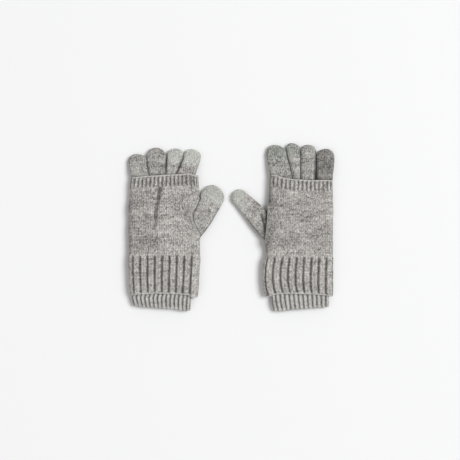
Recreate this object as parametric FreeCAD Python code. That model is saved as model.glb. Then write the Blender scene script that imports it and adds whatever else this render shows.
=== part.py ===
"""A pair of two-layer knitted gloves, lying flat with the palm sides up.

Each hand has a full-finger glove, whose thumb, index and middle finger end in tips of conductive yarn, and a
fingerless sleeve worn over it: a ribbed band round the knuckles, a plain body with a side opening for the
thumb, and a deep ribbed cuff.  The fingers point to +Y, the thumbs point to each other, and the surface that
the pair lies on is Z = 0.  The right-hand glove is on the -X side.  All sizes are in millimetres.

Each digit bends at the line where it leaves the sleeve.  It is a lower tube, fixed to the hand, and an upper
tube, which turns about an axis along the palm side of that line.
"""

import FreeCAD
import Part
import math
import os

# ---- driving dimensions: layers, from the surface upwards --------------------------------------------------
SLEEVE_WALL = 2.2
GLOVE_WALL = 1.6
SLIP = 0.4            # free space between the glove and the sleeve, above and below
CAVITY = 6.0          # free height inside the glove, where the hand goes
GLOVE_THICK = CAVITY + 2 * GLOVE_WALL
GLOVE_BASE = SLEEVE_WALL + SLIP
SLEEVE_THICK = GLOVE_THICK + 2 * GLOVE_BASE

# ---- driving dimensions: lengths along the hand ------------------------------------------------------------
LONGEST = 113.9       # Y of the longest fingertip, and of the glove's open end at the other end of the hand
CUFF_END = -LONGEST
WRIST = -50.0         # where the glove's cuff meets the hand
CROTCH = 36.0         # where the four fingers start
BEND = 73.5           # where the fingers bend, just outside the sleeve
BEND_GAP = 0.3        # clearance on each side of a bend
SLEEVE_TOP = 68.5
BAND_START = 51.5
SLEEVE_CUFF_TOP = -38.5
SLEEVE_END = -91.0
EDGE = 1.5            # depth of a cast-off edge

# ---- driving dimensions: widths ----------------------------------------------------------------------------
HAND_WIDTH = 83.0
CUFF_WIDTH = 79.0
FINGER_PITCH = HAND_WIDTH / 4
FINGER_WIDTH = 19.6
FINGER_TIP_WIDTH = 22.0
FINGER_OVERRUN = 3.0  # a leaning upper finger starts this far below the bend line, and is cut along it
FINGER_TOUCH = 20.5   # length of conductive yarn on a finger
THUMB_TOUCH = 22.0    # length of conductive yarn on the thumb
THUMB_LENGTH = 110.0  # from the thumb's tip to its unseen root, well inside the hand
SLEEVE_REACH = 137.7  # outer side of each sleeve, on both sides of the origin

# ---- the sleeve's side opening for the thumb ---------------------------------------------------------------
OPENING = (-28.0, 46.0)
OPENING_DEPTH = 6.5   # how far the opening reaches into the palm and back faces
OPENING_EDGE = 2.0    # width of its cast-off edge

# ---- elastic threads laid inside the glove's cuff ----------------------------------------------------------
ELASTIC_ROWS = 6
ELASTIC_PITCH = 9.0
ELASTIC_THREAD = 0.6
ELASTIC_PLAY = 0.05

REACH = 400.0         # larger than the object, for half spaces
OVERCUT = 1.0         # how far a cutting shape runs past the ends of what it cuts

# Each finger is (name, lean towards the thumb side in degrees, Y of its tip), from the little finger to the
# index.  The thumb has the centre of its round end, its lean from +Y, its widths and the length that bends.
# x counts from the middle of the sleeve towards the thumb.
GLOVES = {
    "right": {
        "thumb_side": 1,
        "sleeve_width": 95.0,
        "hand_shift": -2.5,
        "fingers": (
            ("little", -8.0, 98.3),
            ("ring", -1.0, 107.3),
            ("middle", 5.0, 107.3),
            ("index", 11.0, 106.0),
        ),
        "thumb": {"tip": (66.1, 39.0), "lean": 30.0, "root_width": 24.0, "tip_width": 28.0, "bends": 32.0},
    },
    "left": {
        "thumb_side": -1,
        "sleeve_width": 91.0,
        "hand_shift": -1.0,
        "fingers": (
            ("little", -7.0, 107.0),
            ("ring", -1.0, 112.0),
            ("middle", 4.0, LONGEST),
            ("index", 9.0, 113.0),
        ),
        "thumb": {"tip": (80.7, 39.1), "lean": 44.0, "root_width": 29.0, "tip_width": 23.0, "bends": 38.0},
    },
}


def vector(x, y, z):
    return FreeCAD.Vector(x, y, z)


def flat_section(width, height):
    """Outline of a flattened tube in the XZ plane: two straight faces joined by half circles."""
    r = height / 2
    flat = width / 2 - r
    edges = [
        Part.LineSegment(vector(-flat, 0, 0), vector(flat, 0, 0)),
        Part.Arc(vector(flat, 0, 0), vector(flat + r, 0, r), vector(flat, 0, height)),
        Part.LineSegment(vector(flat, 0, height), vector(-flat, 0, height)),
        Part.Arc(vector(-flat, 0, height), vector(-flat - r, 0, r), vector(-flat, 0, 0)),
    ]
    return Part.Face(Part.Wire([e.toShape() for e in edges]))


def bar(width, height, start, end, base=0.0):
    """Solid of the flattened outline between two places along Y, resting at the height base."""
    solid = flat_section(width, height).extrude(vector(0, end - start, 0))
    solid.translate(vector(0, start, base))
    return solid


def tube(width, height, wall, start, end, base):
    """Flattened tube, open at both ends."""
    hollow = bar(width - 2 * wall, height - 2 * wall, start - OVERCUT, end + OVERCUT, base + wall)
    return bar(width, height, start, end, base).cut(hollow)


def round_end(width, height):
    """Half of a flattened disc, which closes a bar of the same section at Y = 0."""
    r = height / 2
    flat = width / 2 - r
    edges = [
        Part.LineSegment(vector(0, 0, 0), vector(flat, 0, 0)),
        Part.Arc(vector(flat, 0, 0), vector(flat + r, 0, r), vector(flat, 0, height)),
        Part.LineSegment(vector(flat, 0, height), vector(0, 0, height)),
        Part.LineSegment(vector(0, 0, height), vector(0, 0, 0)),
    ]
    face = Part.Face(Part.Wire([e.toShape() for e in edges]))
    return face.revolve(vector(0, 0, 0), vector(0, 0, 1), 180)


def finger_form(width, tip_width, height, length, base):
    """Solid finger from Y = 0 to its round end at Y = length, its straight sides spreading towards the end."""
    r = height / 2
    straight = length - tip_width / 2
    flat = width / 2 - r
    tip_flat = tip_width / 2 - r
    corners = [(-flat, 0), (flat, 0), (tip_flat, straight), (-tip_flat, straight), (-flat, 0)]
    slab = Part.Face(Part.makePolygon([vector(x, y, base) for x, y in corners])).extrude(vector(0, 0, height))
    form = round_end(tip_width, height)
    form.translate(vector(0, straight, base))
    form = form.fuse(slab)
    for side in (-1, 1):
        low, high = vector(side * flat, 0, base), vector(side * flat, 0, base + height)
        arc = Part.Arc(low, vector(side * (flat + r), 0, base + r), high)
        half_disc = Part.Face(Part.Wire([arc.toShape(), Part.LineSegment(high, low).toShape()]))
        form = form.fuse(half_disc.extrude(vector(side * (tip_flat - flat), straight, 0)))
    return form.removeSplitter()


def finger_cavity(width, tip_width, length):
    """The space inside a hollow finger, which runs out of its open end by the overcut."""
    walls = 2 * GLOVE_WALL
    base = GLOVE_BASE + GLOVE_WALL
    hollow = finger_form(width - walls, tip_width - walls, CAVITY, length - GLOVE_WALL + OVERCUT, base)
    hollow.translate(vector(0, -OVERCUT, 0))
    return hollow


def finger_shell(width, tip_width, length):
    """Hollow finger, open at Y = 0."""
    outer = finger_form(width, tip_width, GLOVE_THICK, length, GLOVE_BASE)
    return outer.cut(finger_cavity(width, tip_width, length))


def slice_of(shape, start, end):
    """The part of a shape between two places along Y."""
    block = Part.makeBox(REACH, end - start, REACH, vector(-REACH / 2, start, -REACH / 2))
    return shape.common(block)


class Glove:
    """One hand's glove and sleeve."""

    def __init__(self, name, spec):
        self.name = name
        self.side = spec["thumb_side"]
        self.width = spec["sleeve_width"]
        self.centre = -self.side * (SLEEVE_REACH - self.width / 2)
        self.shift = spec["hand_shift"]
        self.fingers = spec["fingers"]
        self.thumb = spec["thumb"]
        self.nodes = {}

    def add(self, node, shape):
        self.nodes[self.name + "_" + node] = shape

    def put(self, shape, x, y=0.0, lean=0.0):
        """A copy turned by lean towards the thumb side and moved to its place in the pair."""
        moved = shape.copy()
        moved.rotate(vector(0, 0, 0), vector(0, 0, 1), -self.side * lean)
        moved.translate(vector(self.centre + self.side * x, y, 0))
        return moved

    def beyond(self, x):
        """Everything further than x towards the thumb."""
        corner = self.centre + self.side * x
        start = corner if self.side > 0 else corner - REACH
        return Part.makeBox(REACH, REACH, REACH, vector(start, -REACH / 2, -REACH / 2))

    def build(self):
        self.cuff()
        self.hand_and_thumb()
        for place, finger in enumerate(self.fingers):
            self.finger(place, *finger)
        self.sleeve()
        return self.nodes

    def cuff(self):
        shape = tube(CUFF_WIDTH, GLOVE_THICK, GLOVE_WALL, CUFF_END, WRIST, GLOVE_BASE)
        threads = []
        for row in range(ELASTIC_ROWS):
            start = CUFF_END + ELASTIC_PITCH * (row + 0.5)
            groove = self.elastic_ring(start, ELASTIC_THREAD)
            shape = shape.cut(groove)
            threads.append(self.elastic_ring(start + ELASTIC_PLAY, ELASTIC_THREAD - 2 * ELASTIC_PLAY))
        self.add("wrist_cuff", self.put(shape, self.shift))
        self.add("wrist_elastic", self.put(Part.makeCompound(threads), self.shift))

    def elastic_ring(self, start, thickness):
        """A closed thread round the inside of the cuff's wall, or the groove that it lies in."""
        bottom = GLOVE_BASE + GLOVE_WALL - thickness
        bore = CUFF_WIDTH - 2 * GLOVE_WALL
        ring = bar(bore + 2 * thickness, CAVITY + 2 * thickness, start, start + thickness, bottom)
        hole = bar(bore, CAVITY, start - OVERCUT, start + thickness + OVERCUT, GLOVE_BASE + GLOVE_WALL)
        return ring.cut(hole)

    def hand_and_thumb(self):
        thumb = self.thumb
        lean = thumb["lean"]
        widths = (thumb["root_width"], thumb["tip_width"])
        back = THUMB_LENGTH - thumb["tip_width"] / 2
        root = (
            thumb["tip"][0] - back * math.sin(math.radians(lean)),
            thumb["tip"][1] - back * math.cos(math.radians(lean)),
        )
        bend = THUMB_LENGTH - thumb["bends"]
        touch = THUMB_LENGTH - THUMB_TOUCH
        hand_side = self.shift + HAND_WIDTH / 2

        passage = self.put(finger_cavity(*widths, THUMB_LENGTH), *root, lean)
        passage = passage.common(self.beyond(hand_side - GLOVE_THICK))
        hand = self.put(tube(HAND_WIDTH, GLOVE_THICK, GLOVE_WALL, WRIST, CROTCH, GLOVE_BASE), self.shift)
        self.add("hand", hand.cut(passage))

        shell = finger_shell(*widths, THUMB_LENGTH)
        whole_hand = self.put(bar(HAND_WIDTH, GLOVE_THICK, WRIST, CROTCH, GLOVE_BASE), self.shift)
        lower = self.put(slice_of(shell, 0, bend - BEND_GAP), *root, lean)
        lower = lower.common(self.beyond(hand_side - GLOVE_THICK / 2)).cut(whole_hand)
        self.add("thumb_lower", lower)
        self.add("thumb_upper", self.put(slice_of(shell, bend + BEND_GAP, touch), *root, lean))
        self.add("thumb_touch_tip", self.put(slice_of(shell, touch, THUMB_LENGTH), *root, lean))

    def finger(self, place, finger, lean, tip):
        """The straight lower tube inside the sleeve, and the upper one, which leans."""
        x = self.shift + (place - 1.5) * FINGER_PITCH
        lower = tube(FINGER_WIDTH, GLOVE_THICK, GLOVE_WALL, CROTCH, BEND - BEND_GAP, GLOVE_BASE)
        self.add(finger + "_lower", self.put(lower, x))

        round_off = FINGER_TIP_WIDTH / 2
        length = FINGER_OVERRUN + (tip - round_off - BEND) / math.cos(math.radians(lean)) + round_off
        shell = finger_shell(FINGER_WIDTH, FINGER_TIP_WIDTH, length)
        touch = length
        if finger in ("index", "middle"):
            touch = length - FINGER_TOUCH
            self.add(finger + "_touch_tip", self.lean_finger(slice_of(shell, touch, length), x, lean))
        upper = self.lean_finger(slice_of(shell, 0, touch), x, lean)
        self.add(finger + "_upper", slice_of(upper, BEND + BEND_GAP, REACH / 2))

    def lean_finger(self, shape, x, lean):
        """Set down a piece of finger, whose own Y counts from the overrun below the bend line."""
        shape.translate(vector(0, -FINGER_OVERRUN, 0))
        return self.put(shape, x, BEND, lean)

    def sleeve(self):
        sections = (
            ("sleeve_hem_edge", SLEEVE_END, SLEEVE_END + EDGE),
            ("sleeve_cuff", SLEEVE_END + EDGE, SLEEVE_CUFF_TOP),
            ("sleeve_top_band", BAND_START, SLEEVE_TOP - EDGE),
            ("sleeve_top_edge", SLEEVE_TOP - EDGE, SLEEVE_TOP),
        )
        for node, start, end in sections:
            self.add(node, self.put(tube(self.width, SLEEVE_THICK, SLEEVE_WALL, start, end, 0.0), 0.0))

        body = self.put(tube(self.width, SLEEVE_THICK, SLEEVE_WALL, SLEEVE_CUFF_TOP, BAND_START, 0.0), 0.0)
        inner = slice_of(self.beyond(self.width / 2 - OPENING_DEPTH), *OPENING)
        start, end = OPENING
        rim = self.beyond(self.width / 2 - OPENING_DEPTH - OPENING_EDGE)
        outer = slice_of(rim, start - OPENING_EDGE, end + OPENING_EDGE)
        self.add("thumb_opening_edge", body.common(outer).cut(inner))
        self.add("sleeve_body", body.cut(outer))


def main():
    os.makedirs("parts", exist_ok=True)
    for name, spec in GLOVES.items():
        for node, shape in Glove(name, spec).build().items():
            shape.exportStep(os.path.join("parts", node + ".step"))
            print(node, len(shape.Solids), shape.isValid(), round(shape.Volume))


main()
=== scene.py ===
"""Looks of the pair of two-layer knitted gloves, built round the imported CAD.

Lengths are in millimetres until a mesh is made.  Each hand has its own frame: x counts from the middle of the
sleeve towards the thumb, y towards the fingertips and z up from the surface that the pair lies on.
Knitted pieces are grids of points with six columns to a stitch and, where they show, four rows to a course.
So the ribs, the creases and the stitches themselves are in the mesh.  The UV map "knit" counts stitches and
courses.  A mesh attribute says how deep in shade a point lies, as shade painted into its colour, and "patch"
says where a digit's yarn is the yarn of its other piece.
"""

import math

import bpy
import numpy as np
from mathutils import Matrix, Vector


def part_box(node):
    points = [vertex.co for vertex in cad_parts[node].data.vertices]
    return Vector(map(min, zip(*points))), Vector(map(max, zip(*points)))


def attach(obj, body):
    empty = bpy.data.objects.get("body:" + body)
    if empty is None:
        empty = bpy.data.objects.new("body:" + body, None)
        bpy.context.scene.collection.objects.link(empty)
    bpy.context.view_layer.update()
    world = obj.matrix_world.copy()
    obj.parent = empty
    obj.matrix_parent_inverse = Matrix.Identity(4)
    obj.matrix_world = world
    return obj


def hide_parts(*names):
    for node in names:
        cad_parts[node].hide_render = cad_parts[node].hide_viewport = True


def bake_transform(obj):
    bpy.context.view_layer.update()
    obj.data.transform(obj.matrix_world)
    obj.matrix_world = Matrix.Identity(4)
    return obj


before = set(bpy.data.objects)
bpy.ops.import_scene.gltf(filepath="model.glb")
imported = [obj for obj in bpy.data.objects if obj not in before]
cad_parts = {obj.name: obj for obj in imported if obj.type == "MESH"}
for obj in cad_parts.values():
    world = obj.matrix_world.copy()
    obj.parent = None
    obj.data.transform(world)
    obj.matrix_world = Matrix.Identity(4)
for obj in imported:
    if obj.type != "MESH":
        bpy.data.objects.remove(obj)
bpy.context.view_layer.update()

MM = 0.001
PI = math.pi

# ---- yarn --------------------------------------------------------------------------------------------------
SLEEVE_COURSE = 2.1
GLOVE_WALE = 2.6
GLOVE_COURSE = 1.9
COLUMNS = 6           # grid columns in one stitch
ROWS = 4              # grid rows in one course
STITCH_LEAN = 0.6
SLEEVE_WALL = 1.9
GLOVE_WALL = 1.6
EDGE_RADIUS = 1.15    # cast-off edges
THREAD_RADIUS = 0.3   # elastic
SLEEVE_GIRTH = 206.0  # round the sleeve: with the number of ribs, this gives their pitch
CUFF_GIRTH = 170.0    # round the inner cuff
SLEEVE_STITCH = 0.32  # how far stitches stand up
GLOVE_STITCH = 0.26
HIDDEN_STITCH = 0.12  # inside the sleeve
EDGE_STITCH = 1.95    # length of a stitch along a cast-off edge
EDGE_POINTS = 8       # points along the sleeve's edges for each stitch of its body
THREAD_POINTS = 400   # points round an elastic thread
THREAD_WINDING = 2.0  # length of a swelling along it
# the most shade that is painted into a point's colour
MOST_PAINTED_SHADE = 1.3         # largest value of "hollow"

# ---- places along the hand, as in the CAD ------------------------------------------------------------------
CUFF_END, WRIST, CROTCH = -113.9, -50.0, 36.0
SLEEVE_END, SLEEVE_CUFF_TOP, BAND_START, SLEEVE_TOP = -91.0, -38.5, 51.5, 68.5
EDGE = 1.5            # how much of each end of the sleeve its cast-off edge takes up
CUFF_SHOWN = -84      # the inner cuff shows below this, and needs its stitches
CUFF_DROPS = -104     # below this the inner cuff sinks towards the table
SLEEVE_HEIGHT = 14.4
GLOVE_HEIGHT = 9.2
GLOVE_BASE = 2.6
ELASTIC_ROWS, ELASTIC_PITCH = 6, 9.0
FINGERS_SHOW = 62.0   # fingers have their stitches from here on
FINGER_SWELL = 0.25   # fingers reach this far past the sides given below
TOUCH_LENGTH = 20.5   # conductive tip of a finger

# ---- the two hands -----------------------------------------------------------------------------------------
# Curves are (place, value) pairs: the edges of the sleeve and cuff against y, and how far a knitted end lies
# above its place in the CAD against x.  Fingers are the x of both sides at the base and at the widest place,
# then the tip.  Thumbs are given in a frame that leans with them, from the centre of the CAD's round tip.
# The lip is the palm edge of the thumb's opening, and the shadow painted beside it reaches lip_shade on to
# the thumb.  Each finger's gap pair is the shade painted at both sides of it, finger_shade is shade painted
# over a whole digit, and tone is the shade painted on the sleeve's body against x, darker where the fabric
# turns away from the light.  Pleat, fold and crease are lines where the fabric is creased, and they are
# painted dark as well.  touch_slant is how obliquely the thumb's conductive yarn starts.
HANDS = {
    "right": {
        "side": 1,
        "thumb_edge": (
            (-91, 44.5), (-75, 46.0), (-45, 48.0), (-14, 48.4), (44, 47.6), (56, 46.8), (69, 46.0),
        ),
        "far_edge": ((-91, -45.4), (-70, -47.0), (-40, -47.6), (20, -48.2), (50, -46.5), (69, -44.0)),
        "top": ((-44, -1.2), (-20, 1.0), (20, 3.2), (36, 4.2), (39, 2.2), (47, 1.6)),
        "hem": ((-46, 0.0), (-12, 2.4), (20, 1.2), (34, 0.0), (37, -3.2), (46, -3.4)),
        "cuff_ribs": 21, "cuff_phase": 0.546, "cuff_start": 2.6, "cuff_rim": 3.0,
        "band_ribs": 37, "band_phase": 0.85,
        "body_wales": 68,
        "slit": (-15.0, 47.0),
        "lip": (
            (-16, 49.4), (-11, 48.8), (0.4, 42.1), (9, 38.2), (17.4, 37.0), (29, 43.2), (37, 46.6),
            (47, 48.2),
        ),
        "inner_near": ((-114, 34.8), (-100, 36.0), (-88, 37.5), (-50, 39.0)),
        "inner_far": ((-112, -42.0), (-105, -43.4), (-97, -44.8), (-91, -42.4), (-50, -42.0)),
        "inner_end": ((-44, 8.6), (-28, 6.3), (-1, 4.3), (15, 3.6), (27, 0.8), (35, 1.4)),
        "inner_ribs": 30, "inner_phase": 0.4,
        "hand": (-44.0, 39.0),
        "fingers": {
            "little": ((-43.9, -20.1), (-48.4, -24.1), (-37.0, 99.7)),
            "ring": ((-19.6, 1.3), (-23.7, 2.2), (-11.8, 108.0)),
            "middle": ((1.8, 13.9), (4.2, 26.2), (14.8, 107.0)),
            "index": ((14.5, 40.0), (27.0, 49.6), (35.0, 106.0)),
        },
        "thumb": {
            "lean": 30.0, "centre": (66.1, 39.0),
            "bend": -18.0, "touch": -6.5, "shoulder": 1.5, "beside": 0.0,
            "near": ((-96, -11.0), (-54, -13.0), (-33, -15.0), (-12, -17.2), (2, -18.0)),
            "away": ((-96, 9.0), (-54, 11.3), (-33, 13.5), (-17, 13.9), (2, 14.0)),
            "tip": (-4.0, 16.8),
        },
        "lip_shade": 2.6,
        "touch_slant": 0.0,
        "finger_shade": {"little": 0.14, "ring": 0.27, "middle": 0.05, "index": 0.0, "thumb": 0.13},
        "gap_shade": {"little": (0.4, 0.9), "ring": (0.7, 1.2), "middle": (1.0, 1.8), "index": (1.0, 0.4)},
        "pleat": ((-8, -14.2), (4, -11.8), (22, -11.0), (39, -7.2), (55, -4.8)),
        "fold": 37.4,
        "crease": None,
        "tone": ((-48, 0.30), (-30, 0.26), (-14, 0.20), (-6, 0.02), (20, 0.0), (48, 0.04)),
    },
    "left": {
        "side": -1,
        "thumb_edge": (
            (-91, 43.2), (-83, 47.4), (-70, 49.4), (-56, 48.8), (-38, 45.2), (-19, 45.0), (26, 41.6),
            (50, 40.4), (69, 38.6),
        ),
        "far_edge": ((-91, -44.4), (-40, -45.2), (30, -45.6), (69, -44.6)),
        "top": ((-44, -4.6), (-15, -5.0), (8, -3.6), (24, -1.1), (31, 2.2), (40, 2.4)),
        "hem": ((-44, -2.2), (-38, -0.8), (-24, 0.8), (3, 1.7), (26, 1.6), (37, 0.0), (42, -2.4)),
        "cuff_ribs": 20, "cuff_phase": 0.64, "cuff_start": 0.6, "cuff_rim": 0.5,
        "band_ribs": 33, "band_phase": 0.4,
        "body_wales": 66,
        "slit": (-29.0, 36.0),
        "lip": ((-30, 45.8), (-21, 45.6), (-10, 44.8), (8, 43.0), (26, 41.8), (37, 41.4)),
        "inner_near": ((-114, 34.2), (-100, 37.4), (-88, 38.6), (-50, 38.5)),
        "inner_far": ((-112, -40.2), (-88, -40.4), (-50, -40.5)),
        "inner_end": ((-41, 6.2), (-20, 5.0), (-10, 4.0), (10, 2.4), (23, 0.6), (35, 1.0)),
        "inner_ribs": 27, "inner_phase": 0.3,
        "hand": (-42.5, 40.5),
        "fingers": {
            "little": ((-44.3, -24.0), (-47.6, -23.6), (-35.8, 106.4)),
            "ring": ((-20.6, -1.9), (-22.6, -2.0), (-12.0, 112.0)),
            "middle": ((-1.4, 9.0), (-1.2, 17.4), (11.5, 114.2)),
            "index": ((9.6, 38.2), (18.0, 44.0), (34.0, 111.8)),
        },
        "thumb": {
            "lean": 44.0, "centre": (80.7, 39.1),
            "bend": -26.5, "touch": -9.5, "shoulder": 1.0, "beside": -30.0,
            "near": ((-98, -13.0), (-45, -14.0), (-35, -14.2), (-12, -12.8), (2, -12.0)),
            "away": ((-98, 13.0), (-58, 14.8), (-36, 13.0), (-14, 10.6), (2, 9.6)),
            "tip": (-1.5, 11.9),
        },
        "lip_shade": 6.0,
        "touch_slant": 11.0,
        "finger_shade": {"little": 0.66, "ring": 0.30, "middle": 0.08, "index": 0.22, "thumb": 0.0},
        "gap_shade": {"little": (0.4, 1.4), "ring": (2.2, 1.0), "middle": (1.1, 0.6), "index": (0.4, 0.4)},
        "pleat": None,
        "fold": None,
        "crease": ((-16, 45.4), (-4, 46.4), (0, 47.0), (18.6, 51.4), (24, 52.8)),
        "tone": ((-48, 0.14), (0, 0.19), (30, 0.19), (40, 0.5), (48, 0.9)),
    },
}


def smooth(t):
    t = np.clip(t, 0.0, 1.0)
    return t * t * (3 - 2 * t)


def curve(points, soft=4.0):
    """A smoothed line through (place, value) pairs, as a function of the place."""
    places, values = zip(*points)
    steps = np.linspace(-soft, soft, 9)
    return lambda p: np.mean([np.interp(p + s, places, values) for s in steps], axis=0)


def wobble(x, y, seed, size=26.0):
    """Gentle unevenness of lying fabric, about -1 to 1."""
    rng = np.random.default_rng(seed)
    total = 0.0
    for _ in range(6):
        angle = rng.uniform(0, 2 * PI)
        length = size * rng.uniform(0.6, 1.5)
        across = x * math.cos(angle) + y * math.sin(angle)
        total = total + np.sin(2 * PI * across / length + rng.uniform(0, 2 * PI))
    return total / 3


def stitch(u, v):
    """Height of plain knitting, 0 to 1: two slanting legs to a stitch.  u counts stitches and v courses."""
    slant = v - 2 * STITCH_LEAN * np.abs(u % 1 - 0.5)
    return (0.5 * np.abs(np.sin(2 * PI * u)) + 0.5 * np.abs(np.sin(PI * u))) * np.sin(PI * (slant % 1))


def ribs(u, pitch, depth, width):
    """Relief of ribbing, 0 on the ribs: narrow valleys at whole u, and ribs slightly rounded across."""
    away = np.abs(u - np.round(u))
    return -depth * np.exp(-((away * pitch / width) ** 2)) - 0.35 * depth * (1 - 2 * away) ** 4


def rib_hollow(u, pitch, width):
    """Painted shade for ribbing: 1 at the bottom of the valleys and 0 on the ribs."""
    return np.exp(-(((u - np.round(u)) * pitch / width) ** 2))


def loop(f, half_width, half_height):
    """(x, z) at a fraction f of the way round a flattened loop, from its +x side over the top."""
    r = np.minimum(half_height, half_width)
    flat = half_width - r
    quarter = PI * r / 2
    s = f * 4 * (flat + quarter)
    turn_far = (s - quarter - 2 * flat) / r + PI / 2
    turn_near = (s - 3 * quarter - 4 * flat) / r - PI / 2
    stages = [s < quarter, s < quarter + 2 * flat, s < 3 * quarter + 2 * flat, s < 3 * quarter + 4 * flat]
    x_stages = [
        flat + r * np.cos(s / r),
        flat - (s - quarter),
        -flat + r * np.cos(turn_far),
        -flat + s - 3 * quarter - 2 * flat,
    ]
    z_stages = [r * np.sin(s / r), r + 0 * s, r * np.sin(turn_far), -r + 0 * s]
    x = np.select(stages, x_stages, flat + r * np.cos(turn_near))
    z = np.select(stages, z_stages, r * np.sin(turn_near))
    return x, z


def normals(p, wrap):
    """Outward directions of a grid whose rows run along the hand and whose columns run over the top."""
    along = np.gradient(p, axis=0)
    if wrap:
        across = (np.roll(p, -1, 1) - np.roll(p, 1, 1)) / 2
    else:
        across = np.gradient(p, axis=1)
    n = np.cross(along, across)
    return n / np.maximum(np.linalg.norm(n, axis=2, keepdims=True), 1e-9)


class Skin:
    """Collects grids and the strips that join them into one closed mesh."""

    def __init__(self, side):
        self.side = side
        self.points, self.hollow, self.patch, self.count = [], [], [], 0
        self.faces = {3: [], 4: []}
        self.uvs = {3: [], 4: []}
        self.sharp = []

    def grid(self, points, uv, wrap=True, inside=False, hollow=None, patch=None):
        """Adds a grid; uv(row, column, back) gives the map.  Returns the vertex numbers and their UVs."""
        rows, cols = points.shape[:2]
        index = self.count + np.arange(rows * cols).reshape(rows, cols)
        self.points.append(points.reshape(-1, 3))
        # faces turned inwards are painted fully in shade
        if hollow is None:
            hollow = np.full(rows * cols, float(inside))
        self.hollow.append(np.clip(hollow, 0, MOST_PAINTED_SHADE).ravel())
        self.patch.append(np.zeros(rows * cols) if patch is None else patch.ravel())
        self.count += rows * cols
        if wrap:
            index = np.hstack([index, index[:, :1]])
        r, c = np.meshgrid(np.arange(rows - 1), np.arange(index.shape[1] - 1), indexing="ij")
        back = c >= (index.shape[1] - 1) / 2
        corners = [(r, c), (r + 1, c), (r + 1, c + 1), (r, c + 1)]
        if inside:
            corners.reverse()
        quads = np.stack([index[a, b] for a, b in corners], -1).reshape(-1, 4)
        maps = np.stack([np.stack(uv(a, b, back), -1) for a, b in corners], -2).reshape(-1, 4, 2)
        self.faces[4].append(quads)
        self.uvs[4].append(maps)
        r, c = np.meshgrid(np.arange(rows), np.arange(index.shape[1]), indexing="ij")
        return index, np.stack(uv(r, c, c >= (index.shape[1] - 1) / 2), -1)

    def strip(self, a, b, uv_a, uv_b, flip):
        """Joins two lines of vertices of any two counts."""
        ta, tb = np.linspace(0, 1, len(a)), np.linspace(0, 1, len(b))
        tris, maps = [], []
        i = j = 0
        while i < len(a) - 1 or j < len(b) - 1:
            if j == len(b) - 1 or (i < len(a) - 1 and ta[i + 1] <= tb[j + 1]):
                tris.append((a[i], b[j], a[i + 1]))
                maps.append((uv_a[i], uv_b[j], uv_a[i + 1]))
                i += 1
            else:
                tris.append((a[i], b[j], b[j + 1]))
                maps.append((uv_a[i], uv_b[j], uv_b[j + 1]))
                j += 1
        tris, maps = np.array(tris), np.array(maps)
        if flip:
            tris, maps = tris[:, ::-1], maps[:, ::-1]
        self.faces[3].append(tris)
        self.uvs[3].append(maps)

    def cap(self, ring, uv, centre, flip):
        """Closes a ring of vertices with a fan."""
        middle = self.count
        self.points.append(np.array(centre, float).reshape(1, 3))
        self.hollow.append(np.zeros(1))
        self.patch.append(np.zeros(1))
        self.count += 1
        tris = np.stack([ring[:-1], np.full(len(ring) - 1, middle), ring[1:]], -1)
        mid = np.repeat(uv.mean(0)[None], len(ring) - 1, 0)
        maps = np.stack([uv[:-1], mid, uv[1:]], -2)
        if flip:
            tris, maps = tris[:, ::-1], maps[:, ::-1]
        self.faces[3].append(tris)
        self.uvs[3].append(maps)

    def face(self, points, cols, wales, first, courses, wrap=True, hollow=None):
        """Adds an outer face that is wales stitches round."""

        def uv(r, c, back):
            return c / cols * wales + first, courses[r]

        return self.grid(points, uv, wrap=wrap, hollow=hollow)

    def line(self, index, uvs, points, courses, wrap=True):
        """Adds an inner face with one column to a stitch, and closes both ends."""

        def uv(r, c, back):
            return c * 1.0, courses[r]

        inside, uvi = self.grid(points, uv, wrap=wrap, inside=True)
        self.strip(index[0], inside[0], uvs[0], uvi[0], True)
        self.strip(index[-1], inside[-1], uvs[-1], uvi[-1], False)
        return inside, uvi

    def make(self, name, material, centre_x):
        points = np.concatenate(self.points) * (self.side, 1, 1) + (centre_x, 0, 0)
        loops, starts, maps, at = [], [], [], 0
        for size in (4, 3):
            if not self.faces[size]:
                continue
            f, m = np.concatenate(self.faces[size]), np.concatenate(self.uvs[size])
            if self.side < 0:
                f, m = f[:, ::-1], m[:, ::-1]
            loops.append(f.ravel())
            maps.append(m.reshape(-1, 2))
            starts.append(at + size * np.arange(len(f)))
            at += f.size
        mesh = bpy.data.meshes.new(name)
        mesh.vertices.add(len(points))
        mesh.vertices.foreach_set("co", (points * MM).astype(np.float32).ravel())
        mesh.loops.add(at)
        mesh.loops.foreach_set("vertex_index", np.concatenate(loops).astype(np.int32))
        starts = np.concatenate(starts).astype(np.int32)
        mesh.polygons.add(len(starts))
        mesh.polygons.foreach_set("loop_start", starts)
        mesh.update(calc_edges=True)
        layer = mesh.uv_layers.new(name="knit")
        layer.data.foreach_set("uv", np.concatenate(maps).astype(np.float32).ravel())
        mesh.polygons.foreach_set("use_smooth", np.ones(len(starts), bool))
        if self.sharp:
            marked = np.zeros(len(points), int)
            for k, line in enumerate(self.sharp):
                marked[line] = k + 1
            ends = np.zeros(len(mesh.edges) * 2, np.int32)
            mesh.edges.foreach_get("vertices", ends)
            ends = marked[ends.reshape(-1, 2)]
            crisp = (ends[:, 0] > 0) & (ends[:, 0] == ends[:, 1])
            mesh.attributes.new("sharp_edge", "BOOLEAN", "EDGE").data.foreach_set("value", crisp)
        shade_paint = mesh.attributes.new("hollow", "FLOAT", "POINT")
        shade_paint.data.foreach_set("value", np.concatenate(self.hollow).astype(np.float32))
        other = mesh.attributes.new("patch", "FLOAT", "POINT")
        other.data.foreach_set("value", np.concatenate(self.patch).astype(np.float32))
        mesh.materials.append(material)
        mesh.update()
        obj = bpy.data.objects.new(name, mesh)
        bpy.context.scene.collection.objects.link(obj)
        return obj


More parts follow.
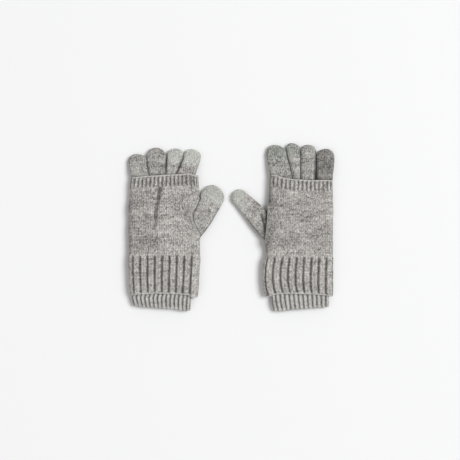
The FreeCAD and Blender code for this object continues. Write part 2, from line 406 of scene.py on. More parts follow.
def line_ring(skin, centres, out, along, radius, uv_scale):
    """A round cord along a closed line of centres, swelling at every stitch as a cast-off edge does."""
    sides = 10
    n = len(centres)
    step = np.linalg.norm(np.roll(centres, -1, 0) - centres, axis=1)
    s = np.concatenate([[0], np.cumsum(step)])
    turns = max(1, round(s[-1] / uv_scale))
    phase = s[:-1] / s[-1] * turns
    around = np.arange(sides) / sides * 2 * PI
    swell = radius * (0.86 + 0.22 * np.abs(np.sin(PI * (phase[:, None] + 0.35 * np.cos(around)[None]))))
    cos, sin = np.cos(around)[None, :, None], np.sin(around)[None, :, None]
    p = centres[:, None] + swell[..., None] * (cos * out[:, None] + sin * along[:, None])

    def uv(r, c, back):
        return r / n * turns * 2, c / sides * 2.0

    index, _ = skin.grid(p, uv)
    # the last ring is joined to the first
    c = np.arange(sides)
    quads = np.stack([index[-1, c], index[0, c], index[0, c + 1], index[-1, c + 1]], -1)
    corners = ((n - 1, c), (n, c), (n, c + 1), (n - 1, c + 1))
    maps = np.stack([np.stack(uv(r + 0 * c, k, None), -1) for r, k in corners], -2)
    skin.faces[4].append(quads)
    skin.uvs[4].append(maps)


def line_loop(skin, p, n, radius, uv_scale):
    """A round cord along the middle one of three rows of points."""
    along = p[2] - p[0]
    along /= np.linalg.norm(along, axis=1, keepdims=True)
    line_ring(skin, p[1], n[1], along, radius, uv_scale)


# ---- materials ---------------------------------------------------------------------------------------------
class Nodes:
    """Short ways to write a procedural material."""

    def __init__(self, name):
        self.material = bpy.data.materials.new(name)
        self.material.use_nodes = True
        self.tree = self.material.node_tree
        self.shader = self.tree.nodes["Principled BSDF"]

    def add(self, kind, **settings):
        node = self.tree.nodes.new(kind)
        for key, value in settings.items():
            setattr(node, key, value)
        return node

    def join(self, value, socket):
        if isinstance(value, (int, float)):
            socket.default_value = value
        else:
            self.tree.links.new(value, socket)

    def math(self, operation, a, b=0.0):
        node = self.add("ShaderNodeMath", operation=operation)
        self.join(a, node.inputs[0])
        self.join(b, node.inputs[1])
        return node.outputs[0]

    def times(self, a, b):
        return self.math("MULTIPLY", a, b)

    def plus(self, a, b):
        return self.math("ADD", a, b)

    def pair(self, x, y):
        node = self.add("ShaderNodeCombineXYZ")
        self.join(x, node.inputs[0])
        self.join(y, node.inputs[1])
        return node.outputs[0]

    def noise(self, vector, detail=2.0, rough=0.5):
        node = self.add("ShaderNodeTexNoise", noise_dimensions="2D")
        self.join(vector, node.inputs["Vector"])
        node.inputs["Scale"].default_value = 1.0
        node.inputs["Detail"].default_value = detail
        node.inputs["Roughness"].default_value = rough
        return node.outputs[0]

    def chance(self, vector):
        node = self.add("ShaderNodeTexWhiteNoise", noise_dimensions="2D")
        self.join(vector, node.inputs["Vector"])
        return node.outputs[0]

    def ramp(self, value, dark, light):
        node = self.add("ShaderNodeValToRGB")
        self.join(value, node.inputs[0])
        for element, colour in zip(node.color_ramp.elements, (dark, light)):
            element.color = (*colour, 1)
        return node.outputs[0]

    def surface(self, **values):
        for name, value in values.items():
            self.shader.inputs[name.replace("_", " ")].default_value = value

    def centred(self, value, amount):
        """amount times the value's distance from one half"""
        return self.times(self.math("SUBTRACT", value, 0.5), amount)


def knit(name, dark, light, speckle=1.0, streak=0.32, cloud=0.30, groove_shade=0.52, hollow=0.6, other=None):
    """Yarn of mixed dark and light fibres.  other is the pair of colours where the mesh's patch is 1."""
    n = Nodes(name)
    uv = n.add("ShaderNodeUVMap", uv_map="knit")
    split = n.add("ShaderNodeSeparateXYZ")
    n.join(uv.outputs[0], split.inputs[0])
    u, v = split.outputs[0], split.outputs[1]
    off = n.math("ABSOLUTE", n.math("SUBTRACT", n.math("FRACT", u), 0.5))
    slant = n.math("SUBTRACT", v, n.times(off, 2 * STITCH_LEAN))
    legs = n.math("ABSOLUTE", n.math("SINE", n.times(u, 2 * PI)))
    whole_wale = n.math("ABSOLUTE", n.math("SINE", n.times(u, PI)))
    across = n.plus(n.times(legs, 0.35), n.times(whole_wale, 0.65))
    strand = n.math("SINE", n.times(n.math("FRACT", slant), PI))
    height = n.math("POWER", n.times(across, strand), 0.6)
    half = n.math("FLOOR", n.times(u, 2.0))
    leg = n.chance(n.pair(n.plus(half, 0.5), n.math("FLOOR", slant)))
    ply = n.chance(n.pair(half, n.plus(n.math("FLOOR", n.times(slant, 2.0)), 0.5)))
    drawn_out = n.pair(n.times(u, 0.22), n.times(n.math("FLOOR", slant), 0.8))
    long_streak = n.noise(drawn_out, 3.0, 0.6)
    clouds = n.noise(n.pair(n.times(u, 0.065), n.times(v, 0.17)), 2.0, 0.5)
    hairs = n.noise(n.pair(n.times(u, 9.0), n.times(slant, 3.2)), 4.0, 0.7)
    shares = (
        (leg, speckle * 0.35),
        (ply, speckle * 0.42),
        (long_streak, streak * 2),
        (clouds, cloud * 2),
        (hairs, 0.25),
    )
    mix = 0.5
    for value, amount in shares:
        mix = n.plus(mix, n.centred(value, amount))
    colour = n.ramp(mix, dark, light)
    if other:
        blend = n.add("ShaderNodeMix", data_type="RGBA")
        n.join(n.add("ShaderNodeAttribute", attribute_name="patch").outputs["Fac"], blend.inputs["Factor"])
        n.join(colour, blend.inputs[6])
        n.join(n.ramp(mix, *other), blend.inputs[7])
        colour = blend.outputs[2]
    # painted shade: the colour is darkened as the mesh's shade attribute says
    shade_paint = n.add("ShaderNodeAttribute", attribute_name="hollow")
    # painted shade in the grooves: the low parts of every stitch are darker
    shade = n.plus(1 - groove_shade, n.times(height, groove_shade))
    darker = n.times(shade_paint.outputs["Fac"], hollow)
    shade = n.times(shade, n.math("SUBTRACT", 1.0, darker))
    shaded_colour = n.add("ShaderNodeVectorMath", operation="SCALE")
    n.join(colour, shaded_colour.inputs[0])
    n.join(shade, shaded_colour.inputs["Scale"])
    n.join(shaded_colour.outputs[0], n.shader.inputs["Base Color"])
    relief = n.plus(height, n.times(hairs, 0.8))
    raised = n.add("ShaderNodeBump")
    raised.inputs["Strength"].default_value = 0.35
    raised.inputs["Distance"].default_value = 0.0004
    n.join(relief, raised.inputs["Height"])
    n.join(raised.outputs[0], n.shader.inputs["Normal"])
    n.surface(Roughness=0.92, Specular_IOR_Level=0.15)
    n.surface(Sheen_Weight=0.15, Sheen_Roughness=0.5, Sheen_Tint=(1.0, 0.98, 0.95, 1.0))
    return n.material


def rubber(name):
    """Covered elastic thread: pale, with a fine wrapped winding."""
    n = Nodes(name)
    uv = n.add("ShaderNodeUVMap", uv_map="knit")
    split = n.add("ShaderNodeSeparateXYZ")
    n.join(uv.outputs[0], split.inputs[0])
    slanted = n.plus(split.outputs[0], split.outputs[1])
    winding = n.math("SINE", n.times(slanted, 6 * PI))
    tone = n.plus(0.5, n.times(winding, 0.5))
    n.join(n.ramp(tone, (0.52, 0.51, 0.48), (0.74, 0.73, 0.69)), n.shader.inputs["Base Color"])
    n.surface(Roughness=0.7)
    return n.material


DARK, LIGHT = (0.09, 0.0835, 0.077), (0.92, 0.882, 0.835)
SLEEVE_KNIT = knit("sleeve_knit", DARK, LIGHT, speckle=1.06, streak=0.28, cloud=0.26)
SLEEVE_RIB = knit(
    "sleeve_rib", DARK, (0.94, 0.902, 0.854), speckle=0.92, streak=0.22, cloud=0.14, hollow=0.74,
)
SLEEVE_EDGE = knit(
    "sleeve_edge", (0.30, 0.285, 0.27), (0.80, 0.78, 0.755), speckle=0.7, groove_shade=0.2, hollow=0.3,
)
# darker than the sleeve's other cast-off edges: painted shade along the thumb's opening
OPENING_EDGE = knit("opening_edge", (0.16, 0.15, 0.14), (0.66, 0.64, 0.61), speckle=0.8, groove_shade=0.25)
GLOVE_YARN = (0.09, 0.084, 0.078), (0.90, 0.868, 0.818)
TOUCH_YARN = (0.31, 0.316, 0.288), (0.87, 0.876, 0.81)
GLOVE_KNIT = knit("glove_knit", *GLOVE_YARN, speckle=1.12, other=TOUCH_YARN)
GLOVE_RIB = knit(
    "glove_rib", (0.24, 0.228, 0.214), (0.98, 0.955, 0.915),
    speckle=0.95, streak=0.22, cloud=0.14, hollow=0.78,
)
TOUCH = knit("touch_yarn", *TOUCH_YARN, speckle=1.3, streak=0.15, cloud=0.15, groove_shade=0.5, other=GLOVE_YARN)
# a darker copy of the touch yarn for the left hand's index and middle tips: painted shade
TOUCH_SHADED = knit(
    "touch_yarn_shaded", (0.14, 0.144, 0.128), (0.73, 0.742, 0.683),
    speckle=1.35, streak=0.15, cloud=0.15, groove_shade=0.6,
)
ELASTIC = rubber("elastic")


# ---- building ----------------------------------------------------------------------------------------------
def finish_piece(obj, body, nodes):
    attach(obj, body)
    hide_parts(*nodes)


def spaced(start, end, step):
    return np.linspace(start, end, max(2, int(round((end - start) / step)) + 1))


class Hand:
    def __init__(self, name, spec):
        self.name, self.spec, self.side = name, spec, spec["side"]
        low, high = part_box(name + "_sleeve_body")
        self.centre = (low.x + high.x) / 2 / MM
        self.seed = 11 if self.side > 0 else 23
        self.yarn = 0 if self.side > 0 else 500     # pieces start at different places in the yarn
        for key, soft in (
            ("thumb_edge", 5), ("far_edge", 6), ("top", 2.0), ("hem", 1.2), ("lip", 3.0),
            ("inner_near", 4), ("inner_far", 3), ("inner_end", 3),
        ):
            setattr(self, key, curve(spec[key], soft))

    def finish(self, skin, piece, material, body, node):
        obj = skin.make(f"{self.name}_{piece}", material, self.centre)
        finish_piece(obj, f"{self.name}_{body}", [f"{self.name}_{node}"])

    def sleeve(self, f, v):
        """The sleeve's outer face before relief, at a fraction f of the way round and v along the hand."""
        near, far = self.thumb_edge(v), self.far_edge(v)
        half, mid = (near - far) / 2, (near + far) / 2
        height = SLEEVE_HEIGHT / 2 * (1 - 0.06 * smooth((v - 40) / 28) - 0.04 * smooth((-60 - v) / 30))
        x, z = loop(f, half, height)
        x = x + mid
        # the upper face falls away to both sides
        crown = 1 - np.where(x > mid, 0.12, 0.20) * np.abs((x - mid) / half) ** 2.3
        z = np.where(z > 0, z * crown, z) + height
        length = 4 * (half - height) + 2 * PI * height
        start, end = self.spec["slit"]
        # along the thumb's opening the palm side is pulled in to the lip, and the back stays flat
        opened = smooth((v - start) / 9) * smooth((end - v) / 9)
        reach = 26.0
        ahead = f * length
        lip = self.lip(v)
        flat_end = near + (PI / 2 - 1) * height - reach
        pulled = lip - ahead * (lip - flat_end) / reach
        over = (f < 0.5) & (ahead < reach)
        x = np.where(over, x + opened * (pulled - x), x)
        z = np.where(over, z + opened * (2 * height * 0.985 - z) * smooth((reach - ahead) / 12), z)
        behind = (1 - f) * length
        lower = near - 0.5 - behind * (near - 0.5 - flat_end) / reach
        under = (f >= 0.5) & (behind < reach)
        x = np.where(under, x + opened * (lower - x), x)
        z = np.where(under, z - opened * z * smooth((reach - behind) / 12), z)
        y = v + self.top(x) * smooth((v - 10) / (SLEEVE_TOP - 14)) + self.hem(x) * smooth((-42 - v) / 46)
        return np.stack([x, y, z], -1)

    def sleeve_relief(self, p, n, f, v, part):
        """How far the outer face stands above its plain shape, and how much shade is painted on it."""
        spec = self.spec
        x, y = p[..., 0], p[..., 1]
        flat = smooth(np.abs(n[..., 2]) / 0.7)
        top = smooth((n[..., 2] + 0.1) / 0.5)
        under = smooth((-n[..., 2] - 0.2) / 0.6)
        cuff = smooth((SLEEVE_CUFF_TOP + spec["cuff_start"] - v) / 4)
        if part == "band":
            pitch = SLEEVE_GIRTH / spec["band_ribs"]
            place = f * spec["band_ribs"] - spec["band_phase"]
            grow = smooth((v - BAND_START) / 3.5)
            d = (0.6 + ribs(place, pitch, 1.4, 1.05)) * grow
            # painted shade in the valleys between the ribs
            shade_paint = grow * rib_hollow(place, pitch, 0.95) * (0.35 + 0.5 * flat)
            d = d - 0.5 * under
        else:
            pitch = SLEEVE_GIRTH / spec["cuff_ribs"]
            place = f * spec["cuff_ribs"] - spec["cuff_phase"]
            rim = smooth((self.thumb_edge(v) - spec["cuff_rim"] - x) / 2.5)
            raised = 1.3 * (0.25 + 0.75 * top) + ribs(place, pitch, 2.0, 1.2) * (0.45 + 0.55 * flat * rim)
            d = (raised - under) * cuff
            # painted shade in the valleys between the ribs
            shade_paint = cuff * rib_hollow(place, pitch, 1.15) * (0.15 + 0.85 * flat * rim)
            # painted shade on the body against x: darker where the fabric turns away from the light
            shade = curve(spec["tone"], 8)(x) * smooth((y - SLEEVE_CUFF_TOP) / 16)
            shade_paint = np.maximum(shade_paint, shade * smooth((BAND_START - y) / 10))
        d = d + 0.45 * wobble(x, y, self.seed) * top
        if spec["pleat"]:
            line = curve(spec["pleat"], 4)(y)
            fade = smooth((BAND_START + 5 - y) / 4) * smooth((y + 14) / 30)
            dent = np.exp(-(((x - line) / 2.7) ** 2))
            d = d - top * fade * (2.5 * dent + 0.6 * smooth((line - x) / 2) * smooth((x - line + 16) / 14))
            # the crease is pressed in and painted dark as well
            shade_paint = np.maximum(shade_paint, top * fade * dent * 0.95)
        if spec["fold"]:
            line = spec["fold"]
            fade = smooth((y - 10) / 30)
            dent = np.exp(-(((x - line) / 1.3) ** 2)) * smooth((y - 44) / 8)
            d = d - top * fade * (1.6 * smooth((x - line) / 1.6) + 1.2 * dent)
            # the fold is painted dark as well
            shade_paint = np.maximum(shade_paint, top * fade * dent * 0.8)
        return d - 0.5 * under, shade_paint

    def sleeve_piece(self, node, part, start, end, wales, first=0.0):
        """One knitted part of the sleeve: a tube, or a sheet that the thumb's opening parts."""
        first = first + self.yarn
        cols = wales * COLUMNS
        v = spaced(start, end, SLEEVE_COURSE / ROWS)
        sheet = part == "body"
        f = np.arange(cols + sheet) / cols
        ff, vv = np.meshgrid(f, v)
        base = self.sleeve(ff, vv)
        n = normals(base, not sheet)
        d, shade_paint = self.sleeve_relief(base, n, ff, vv, part)
        d = d + SLEEVE_STITCH * stitch(ff * wales + first, vv / SLEEVE_COURSE)
        outer = base + n * d[..., None]
        skin = Skin(self.side)
        index, uvs = skin.face(outer, cols, wales, first, v / SLEEVE_COURSE, not sheet, shade_paint)
        skin.sharp += [index[0], index[-1]]
        vi = spaced(start, end, 3.0)
        fi = np.arange(wales + sheet) / wales
        fin, vin = np.meshgrid(fi, vi)
        inner = self.sleeve(fin, vin)
        inner = inner - normals(inner, not sheet) * SLEEVE_WALL
        inside, uvi = skin.line(index, uvs, inner, vi / SLEEVE_COURSE, not sheet)
        if sheet:
            skin.strip(index[:, 0], inside[:, 0], uvs[:, 0], uvi[:, 0], False)
            skin.strip(index[:, -1], inside[:, -1], uvs[:, -1], uvi[:, -1], True)
        material, slot = (SLEEVE_KNIT, "sleeve_knit") if sheet else (SLEEVE_RIB, "sleeve_rib")
        self.finish(skin, node + "_knit", material, "sleeve", node)

    def sleeve_edge(self, node, place, part):
        """The cast-off row round an end of the sleeve."""
        count = self.spec["body_wales"] * EDGE_POINTS
        f = np.arange(count) / count
        ff, vv = np.meshgrid(f, np.array([place - 0.8, place, place + 0.8]))
        base = self.sleeve(ff, vv)
        n = normals(base, True)
        d, _ = self.sleeve_relief(base, n, ff, vv, part)
        pressed = 0.25 * smooth(-n[..., 2] / 0.5)       # the underside lies on the table
        p = base + n * (d * 0.45 - SLEEVE_WALL / 2 + 0.2 + pressed)[..., None]
        skin = Skin(self.side)
        line_loop(skin, p, n, EDGE_RADIUS, EDGE_STITCH)
        self.finish(skin, node + "_cord", SLEEVE_EDGE, "sleeve", node)

    def slit_edge(self):
        """The cast-off row round the thumb's opening: up the palm side and down the back."""
        start, end = self.spec["slit"]
        v = spaced(start + 0.5, end - 0.5, 0.35)
        front = self.lip_line(v, 0.0, 0.004)
        back = self.lip_line(v, 1.0, 0.996)
        p = np.concatenate([front[0], back[0][::-1]])
        n = np.concatenate([front[1], back[1][::-1]])
        along = np.roll(p, -1, 0) - np.roll(p, 1, 0)
        along /= np.maximum(np.linalg.norm(along, axis=1, keepdims=True), 1e-9)
        n = n - along * (n * along).sum(1, keepdims=True)
        n /= np.linalg.norm(n, axis=1, keepdims=True)
        skin = Skin(self.side)
        line_ring(skin, p, n, np.cross(along, n), EDGE_RADIUS * 0.95, EDGE_STITCH)
        self.finish(skin, "thumb_opening_cord", OPENING_EDGE, "sleeve", "thumb_opening_edge")

    def lip_line(self, v, f, f_in):
        """Centres and directions along the sleeve's edge at f, where f_in is a little way in from it."""
        ff, vv = np.meshgrid(np.array(sorted([f, f_in])), v)
        base = self.sleeve(ff, vv)
        n = normals(base, False)
        d, _ = self.sleeve_relief(base, n, ff, vv, "body")
        pick = 0 if f < f_in else 1
        return (base + n * (d - SLEEVE_WALL / 2)[..., None])[:, pick], n[:, pick]

    def cuff(self, f, v):
        """The inner glove's cuff before relief."""
        near, far = self.inner_near(v), self.inner_far(v)
        half, mid = (near - far) / 2, (near + far) / 2
        height = GLOVE_HEIGHT / 2 * 0.88
        x, z = loop(f, half, height)
        crown = 1 - 0.2 * np.abs(x / half) ** 2.3
        drop = 2.2 * smooth((CUFF_DROPS - v) / 10)
        z = np.where(z > 0, z * crown, z) + GLOVE_BASE + GLOVE_HEIGHT / 2 - 0.15 - drop
        x = x + mid
        y = v + self.inner_end(x) * smooth((-80 - v) / 33)
        return np.stack([x, y, z], -1)

    def cuff_relief(self, p, n, f, v):
        spec = self.spec
        pitch = CUFF_GIRTH / spec["inner_ribs"]
        d = 0.3 + ribs(f * spec["inner_ribs"] - spec["inner_phase"], pitch, 1.4, 1.0)
        d = d - smooth(-n[..., 2] / 0.5)
        d = d - 0.5 * smooth((v + 103) / 5)
        d = d + 0.2 * wobble(p[..., 0], p[..., 1], self.seed + 3, 20.0) * smooth(n[..., 2] / 0.5)
        return d

    def wrist_cuff(self):
        spec = self.spec
        wales = spec["inner_ribs"] * 2
        first = self.yarn + 0.5 - 2 * spec["inner_phase"]
        cols = wales * COLUMNS
        fine = spaced(CUFF_END + 0.8, CUFF_SHOWN, GLOVE_COURSE / ROWS)
        v = np.concatenate([fine, spaced(CUFF_SHOWN, WRIST, 2.4)[1:]])
        f = np.arange(cols) / cols
        ff, vv = np.meshgrid(f, v)
        base = self.cuff(ff, vv)
        n = normals(base, True)
        detail = smooth((CUFF_SHOWN - vv) / 2)
        stitches = GLOVE_STITCH * stitch(ff * wales + first, vv / GLOVE_COURSE)
        d = self.cuff_relief(base, n, ff, vv) + stitches * detail
        outer = base + n * d[..., None]
        # two rows round the open end
        lip = outer[0] - n[0] * (GLOVE_WALL * 0.22) - (0, 0.5, 0)
        lip2 = base[0] + n[0] * (0.5 * d[0] - GLOVE_WALL * 0.5)[..., None] - (0, 0.8, 0)
        outer = np.concatenate([lip2[None], lip[None], outer])
        rows_v = np.concatenate([[v[0] - 0.9, v[0] - 0.5], v]) / GLOVE_COURSE
        skin = Skin(self.side)
        place = ff * spec["inner_ribs"] - spec["inner_phase"]
        # painted shade in the rib valleys, less of it near the open end and on the two rows round it
        less_shade_at_end = 1 - 0.6 * smooth((CUFF_END + 4.5 - vv) / 3)
        shade_paint = rib_hollow(place, CUFF_GIRTH / spec["inner_ribs"], 0.9) * less_shade_at_end
        shade_paint = np.concatenate([shade_paint[:2] * 0.5, shade_paint])
        index, uvs = skin.face(outer, cols, wales, first, rows_v, hollow=shade_paint)
        skin.sharp += [index[-1]]
        vi = spaced(CUFF_END + 0.8, WRIST, 3.0)
        fin, vin = np.meshgrid(np.arange(wales) / wales, vi)
        inner = self.cuff(fin, vin)
        n_in = normals(inner, True)
        inner = inner + n_in * (0.5 * self.cuff_relief(inner, n_in, fin, vin) - GLOVE_WALL)[..., None]
        skin.line(index, uvs, inner, vi / GLOVE_COURSE)
        self.finish(skin, "wrist_cuff_knit", GLOVE_RIB, "glove", "wrist_cuff")

    def elastic(self):
        skin = Skin(self.side)
        for row in range(ELASTIC_ROWS):
            place = CUFF_END + ELASTIC_PITCH * (row + 0.5)
            f = np.arange(THREAD_POINTS) / THREAD_POINTS
            ff, vv = np.meshgrid(f, np.array([place - 0.5, place, place + 0.5]))
            base = self.cuff(ff, vv)
            n = normals(base, True)
            d = 0.5 * self.cuff_relief(base, n, ff, vv) - GLOVE_WALL - THREAD_RADIUS * 0.6
            line_loop(skin, base + n * d[..., None], n, THREAD_RADIUS, THREAD_WINDING)
        self.finish(skin, "wrist_elastic_threads", ELASTIC, "glove", "wrist_elastic")

    def palm(self):
        """The inner glove inside the sleeve, from the cuff to the fingers."""
        low, high = self.spec["hand"]
        quarter = ((high - low) - GLOVE_HEIGHT) / 2 + PI * GLOVE_HEIGHT / 4
        wales = int(round(4 * quarter / GLOVE_WALE / 2) * 2)
        cols = wales * 2
        v = spaced(WRIST, CROTCH, GLOVE_COURSE)
        near = curve(((WRIST, self.inner_near(WRIST)), (WRIST + 12, high), (CROTCH, high)), 4)
        far = curve(((WRIST, self.inner_far(WRIST)), (WRIST + 12, low), (CROTCH, low)), 4)

        def surface(ff, vv):
            half, mid = (near(vv) - far(vv)) / 2, (near(vv) + far(vv)) / 2
            x, z = loop(ff, half, GLOVE_HEIGHT / 2)
            return np.stack([x + mid, vv, z + GLOVE_BASE + GLOVE_HEIGHT / 2], -1)

        ff, vv = np.meshgrid(np.arange(cols) / cols, v)
        base = surface(ff, vv)
        n = normals(base, True)
        stitches = HIDDEN_STITCH * stitch(ff * wales + 0.25, vv / GLOVE_COURSE)
        outer = base + n * (stitches - HIDDEN_STITCH / 2)[..., None]
        skin = Skin(self.side)
        index, uvs = skin.face(outer, cols, wales, 0.0, v / GLOVE_COURSE)
        vi = spaced(WRIST, CROTCH, 4.0)
        fin, vin = np.meshgrid(np.arange(wales) / wales, vi)
        inner = surface(fin, vin)
        inner = inner - normals(inner, True) * GLOVE_WALL
        skin.line(index, uvs, inner, vi / GLOVE_COURSE)
        self.finish(skin, "hand_knit", GLOVE_KNIT, "glove", "hand")

    # -- fingers and thumb --
    def digit(
        self, name, left, right, start, fine_from, shoulder, tip, touch, place, drop, nodes, side_shade,
        edge_shade_and_dent,
    ):
        """A closed knitted tube.

        left and right are its sides against the distance along it, and place turns (across, along) into the
        hand's x and y.  Its stitches are in the mesh from fine_from on.  It rounds off from shoulder to tip.
        touch is where the conductive yarn starts, if it has any.  drop is how far it sinks, and from where to
        where.  crowded gives the shade painted at its left and right side.  covered gives the shadow of the
        sleeve's edge that is painted on it, and where it is dented.
        """
        step = GLOVE_COURSE / ROWS
        q = np.concatenate([spaced(start, fine_from, 2.4)[:-1], spaced(fine_from, shoulder, step)])
        # the round end: a quarter of an oval, which stops short of the tip and is closed by a cap
        arc = (tip[1] - shoulder + (right(shoulder) - left(shoulder)) / 2) * 0.79
        phi = spaced(0, PI / 2 * 0.97, PI / 2 * step / arc)[1:]
        along = np.concatenate([q, shoulder + (tip[1] - shoulder) * np.sin(phi)])
        shrink = np.concatenate([np.ones(len(q)), np.cos(phi) ** 0.94])
        puff = np.concatenate([np.ones(len(q)), np.cos(phi) ** 0.62])
        travelled = np.concatenate([q, shoulder + arc * phi / (PI / 2)])
        low = np.concatenate([left(q), tip[0] + (left(shoulder) - tip[0]) * shrink[len(q):]])
        high = np.concatenate([right(q), tip[0] + (right(shoulder) - tip[0]) * shrink[len(q):]])
        bulge = 1 + 0.02 * np.sin(PI * np.clip((along - fine_from) / (shoulder - fine_from), 0, 1))
        half, mid = (high - low) / 2 * bulge, (high + low) / 2
        tall = GLOVE_HEIGHT / 2 * (1 - 0.22 * smooth((along - fine_from) / (shoulder - fine_from))) * puff
        level = GLOVE_BASE + GLOVE_HEIGHT / 2 - drop[0] * smooth((along - drop[1]) / (drop[2] - drop[1]))
        girth = 4 * np.maximum(half - tall, 0) + 2 * PI * tall
        full = girth[len(q) - 1]
        wales = max(8, int(round(full / GLOVE_WALE / 2)) * 2)
        first = self.yarn + 47.0 * len(name) + 13 * ord(name[0])
        cols = wales * COLUMNS

        def surface(count, rows, wall=0.0):
            f = np.arange(count) / count
            ff, h = np.meshgrid(f, half[rows])
            x, z = loop(ff, h, np.minimum(tall[rows][:, None] + 0 * ff, h))
            crown = 1 - 0.24 * np.abs(x / h) ** 2.6
            z = z * crown
            px, py = place(x + mid[rows][:, None], along[rows][:, None] + 0 * x)
            return ff, np.stack([px, py, z + level[rows][:, None]], -1)

        rows = np.arange(len(along))
        ff, base = surface(cols, rows)
        n = normals(base, True)
        back_half = ff >= 0.5
        face = np.where(back_half, 0.75, 0.25)
        u = ((ff - face) * girth[:, None] / full + face) * wales
        detail = smooth((along[:, None] - fine_from) / 2) * smooth((girth[:, None] / full - 0.55) / 0.3)
        d = GLOVE_STITCH * stitch(u, travelled[:, None] / GLOVE_COURSE) * detail
        uneven = 0.3 * wobble(base[..., 0], base[..., 1], self.seed + len(name), 16.0)
        d = d + uneven * smooth((along[:, None] - fine_from) / 5) * puff[:, None]
        outer = base + n * d[..., None]
        # painted shade on a digit's sides next to its neighbours, on its steep sides and near its edges
        on_left, on_right = side_shade(along)
        beside = np.where(np.abs(ff - 0.5) > 0.25, on_right[:, None], on_left[:, None])
        across = loop(ff, half[:, None] + 0 * ff, np.minimum(tall, half)[:, None] + 0 * ff)[0]
        inwards = half[:, None] - np.abs(across)
        steep = smooth((0.72 - n[..., 2]) / 0.6)
        at_side = smooth(1.25 - inwards / (1.5 * beside + 0.01))
        shade_paint = np.minimum(beside, 1.0) * np.maximum(steep, at_side)
        # painted shadow of the sleeve's edge; a crease is pressed in and painted dark as well
        shade, dent = edge_shade_and_dent(base[..., 0], base[..., 1])
        dent = 1.3 * dent * smooth((n[..., 2] - 0.3) / 0.4)
        outer = outer - n * dent[..., None]
        shade_paint = np.maximum(shade_paint, np.maximum(shade, dent))
        slant = self.spec["touch_slant"] if name == "thumb" else 0.0
        beyond = along[:, None] - (touch or 0.0) - slant * (0.1 - across / half[:, None])
        tipped = smooth(beyond / 1.2 + 0.5) if slant else None
        coarse_rows = np.unique(np.concatenate([np.arange(0, len(rows) - 1, 8), [len(rows) - 2]]))
        _, core = surface(wales, rows)
        core_n = normals(core, True)
        room = np.minimum(GLOVE_WALL, tall * 0.6)
        core = core - core_n * room[:, None, None]

        def build(piece, picked, material, closed, body, stands_for):
            skin = Skin(self.side)
            t = travelled[picked] / GLOVE_COURSE
            g = girth[picked] / full

            def uv(r, c, back):
                face = np.where(back, 0.75, 0.25)
                return ((c / cols - face) * g[r] + face) * wales + first, t[r]

            patch = None
            if slant:
                patch = tipped[picked] if picked[0] == 0 else 1 - tipped[picked]
            index, uvs = skin.grid(outer[picked], uv, hollow=shade_paint[picked], patch=patch)
            chosen = [r for r in coarse_rows if picked[0] < r < picked[-1]]
            inner_rows = np.array([picked[0]] + chosen + ([] if closed else [picked[-1]]))

            def uv_in(r, c, back):
                return c + first, travelled[inner_rows][r] / GLOVE_COURSE

            inside, uvi = skin.grid(core[inner_rows], uv_in, inside=True)
            skin.strip(index[0], inside[0], uvs[0], uvi[0], True)
            skin.sharp += [index[0]]
            if closed:
                skin.cap(index[-1], uvs[-1], outer[picked[-1]].mean(0), False)
                skin.cap(inside[-1], uvi[-1], core[inner_rows[-1]].mean(0), True)
            else:
                skin.strip(index[-1], inside[-1], uvs[-1], uvi[-1], False)
                skin.sharp += [index[-1]]
            obj = skin.make(piece, material, self.centre)
            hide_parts(*stands_for)
            if body:
                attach(obj, body)
            return obj

        split = len(rows) if touch is None else int(np.searchsorted(along, touch))
        knit_rows = rows[: split + 1] if touch is not None else rows
        piece = f"{self.name}_{name}_knit"
        obj = build(piece, knit_rows, GLOVE_KNIT, touch is None, None, nodes)
        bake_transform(obj)
        if touch is not None:
            yarn = TOUCH if self.side > 0 or name == "thumb" else TOUCH_SHADED
            build(
                f"{self.name}_{name}_touch_knit", rows[split:], yarn, True, f"{self.name}_{name}",
                [f"{self.name}_{name}_touch_tip"],
            )

    def finger(self, name):
        base, wide, tip = self.spec["fingers"][name]
        shoulder = tip[1] - 0.46 * (wide[1] - wide[0])

        def edge(low, high):
            return curve(((CROTCH, low), (66, low), (shoulder, high), (130, high)), 5)

        left = edge(base[0] - FINGER_SWELL, wide[0] - FINGER_SWELL)
        right = edge(base[1] + FINGER_SWELL, wide[1] + FINGER_SWELL)
        touch = tip[1] - TOUCH_LENGTH if name in ("index", "middle") else None
        # shade painted over the whole finger
        tone = self.spec["finger_shade"][name]
        gap_shade = self.spec["gap_shade"][name]

        def edge_shade_and_dent(px, py):
            """Painted shadow of the sleeve's edge on the fingers, over the finger's own painted shade."""
            above = py - SLEEVE_TOP - self.top(px)
            return tone + 0.65 * np.exp(-((np.maximum(above, 0) / 2.2) ** 2)), 0 * px

        def side_shade(q):
            return [g * smooth((shoulder + 5 - q) / 9) for g in gap_shade]

        nodes = [f"{self.name}_{name}_lower", f"{self.name}_{name}_upper"]
        self.digit(
            name, left, right, CROTCH, FINGERS_SHOW, shoulder, tip, touch, lambda p, q: (p, q),
            (3.2, 74.0, shoulder + 4), nodes, side_shade, edge_shade_and_dent,
        )

    def thumb(self):
        t = self.spec["thumb"]
        lean = math.radians(t["lean"])
        cx, cy = t["centre"]

        def place(p, q):
            return cx + p * math.cos(lean) + q * math.sin(lean), cy - p * math.sin(lean) + q * math.cos(lean)

        left, right = curve(t["near"], 4), curve(t["away"], 4)
        nodes = [self.name + "_thumb_lower", self.name + "_thumb_upper"]
        start, end = self.spec["slit"]

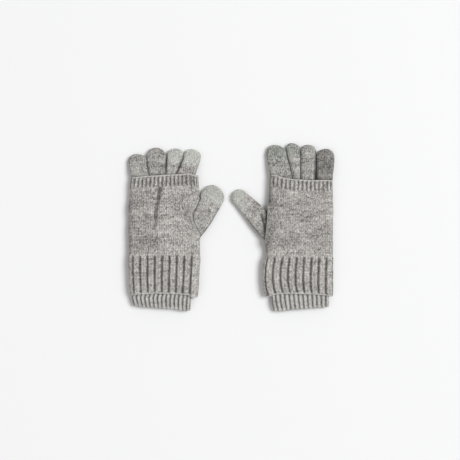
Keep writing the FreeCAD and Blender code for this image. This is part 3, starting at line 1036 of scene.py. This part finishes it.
        def edge_shade_and_dent(px, py):
            """Painted shadow of the opening's palm edge on the thumb, over its painted shade, and the crease's
            dent.
            """
            out = np.maximum(px - self.lip(py), 0)
            inside = smooth((py - start + 6) / 8) * smooth((end + 4 - py) / 8)
            shade = 1.1 * inside * np.exp(-((out / self.spec["lip_shade"]) ** 3))
            shade = np.maximum(shade, self.spec["finger_shade"]["thumb"])
            if not self.spec["crease"]:
                return shade, 0 * px
            dent = np.exp(-(((px - curve(self.spec["crease"], 3)(py)) / 2.3) ** 2))
            return shade, dent * smooth((py + 16) / 10) * smooth((22 - py) / 6)

        # painted shade on the thumb's away side, fading out past beside
        def side_shade(q):
            return 0 * q, smooth((t["beside"] - q) / 8)

        self.digit(
            "thumb", left, right, t["bend"] - 48, t["bend"] - 36, t["shoulder"], t["tip"], t["touch"], place,
            (3.2, t["bend"] - 42, t["shoulder"]), nodes, side_shade, edge_shade_and_dent,
        )

    def build(self):
        spec = self.spec
        self.wrist_cuff()
        self.elastic()
        self.palm()
        for name in spec["fingers"]:
            self.finger(name)
        self.thumb()
        self.sleeve_piece(
            "sleeve_cuff", "cuff", SLEEVE_END + EDGE, SLEEVE_CUFF_TOP, spec["cuff_ribs"] * 3,
            0.5 - 3 * spec["cuff_phase"],
        )
        self.sleeve_piece("sleeve_body", "body", SLEEVE_CUFF_TOP, BAND_START, spec["body_wales"])
        self.sleeve_piece(
            "sleeve_top_band", "band", BAND_START, SLEEVE_TOP - EDGE, spec["band_ribs"] * 2,
            0.5 - 2 * spec["band_phase"],
        )
        self.sleeve_edge("sleeve_hem_edge", SLEEVE_END + 0.9, "cuff")
        self.sleeve_edge("sleeve_top_edge", SLEEVE_TOP - 0.9, "band")
        self.slit_edge()


for hand_name, hand_spec in HANDS.items():
    Hand(hand_name, hand_spec).build()


# ---- floor, light and camera -------------------------------------------------------------------------------
def plain(name, colour):
    n = Nodes(name)
    n.surface(Base_Color=(*colour, 1), Roughness=1.0, Specular_IOR_Level=0.0)
    return n.material


FLOOR_LEVEL = -0.0009
floor_corners = [(x, y, FLOOR_LEVEL) for x, y in ((-4, -4), (4, -4), (4, 4), (-4, 4))]
floor_mesh = bpy.data.meshes.new("floor")
floor_mesh.from_pydata(floor_corners, [], [(0, 1, 2, 3)])
floor_mesh.materials.append(plain("floor", (0.865, 0.865, 0.865)))
floor = bpy.data.objects.new("floor", floor_mesh)
bpy.context.scene.collection.objects.link(floor)


def lamp(name, place, target, size, power, colour=(1, 1, 1)):
    light = bpy.data.lights.new(name, "AREA")
    light.color = colour
    light.shape = "DISK"
    light.size = size
    light.energy = power
    obj = bpy.data.objects.new(name, light)
    bpy.context.scene.collection.objects.link(obj)
    obj.location = place
    away = Vector(place) - Vector(target)
    obj.rotation_mode = "QUATERNION"
    obj.rotation_quaternion = away.to_track_quat("Z", "Y")


lamp("key", (5.2, 1.6, 7.6), (0, 0, 0), 5.0, 706, (0.963, 0.981, 1.0))
lamp("fill", (-2.0, -0.9, 3.0), (0, 0, 0), 2.4, 12)

world = bpy.data.worlds.new("studio")
world.use_nodes = True
world.node_tree.nodes["Background"].inputs[0].default_value = (1.0, 0.975, 0.96, 1)
world.node_tree.nodes["Background"].inputs[1].default_value = 0.42
bpy.context.scene.world = world
bpy.context.scene.view_settings.view_transform = "Standard"

camera = bpy.data.cameras.new("camera")
camera.lens = 85
camera.sensor_width = 36
camera.clip_end = 10
camera_obj = bpy.data.objects.new("camera", camera)
camera_obj.location = (-0.00135, -0.0034, 1.474)
bpy.context.scene.collection.objects.link(camera_obj)
bpy.context.scene.camera = camera_obj
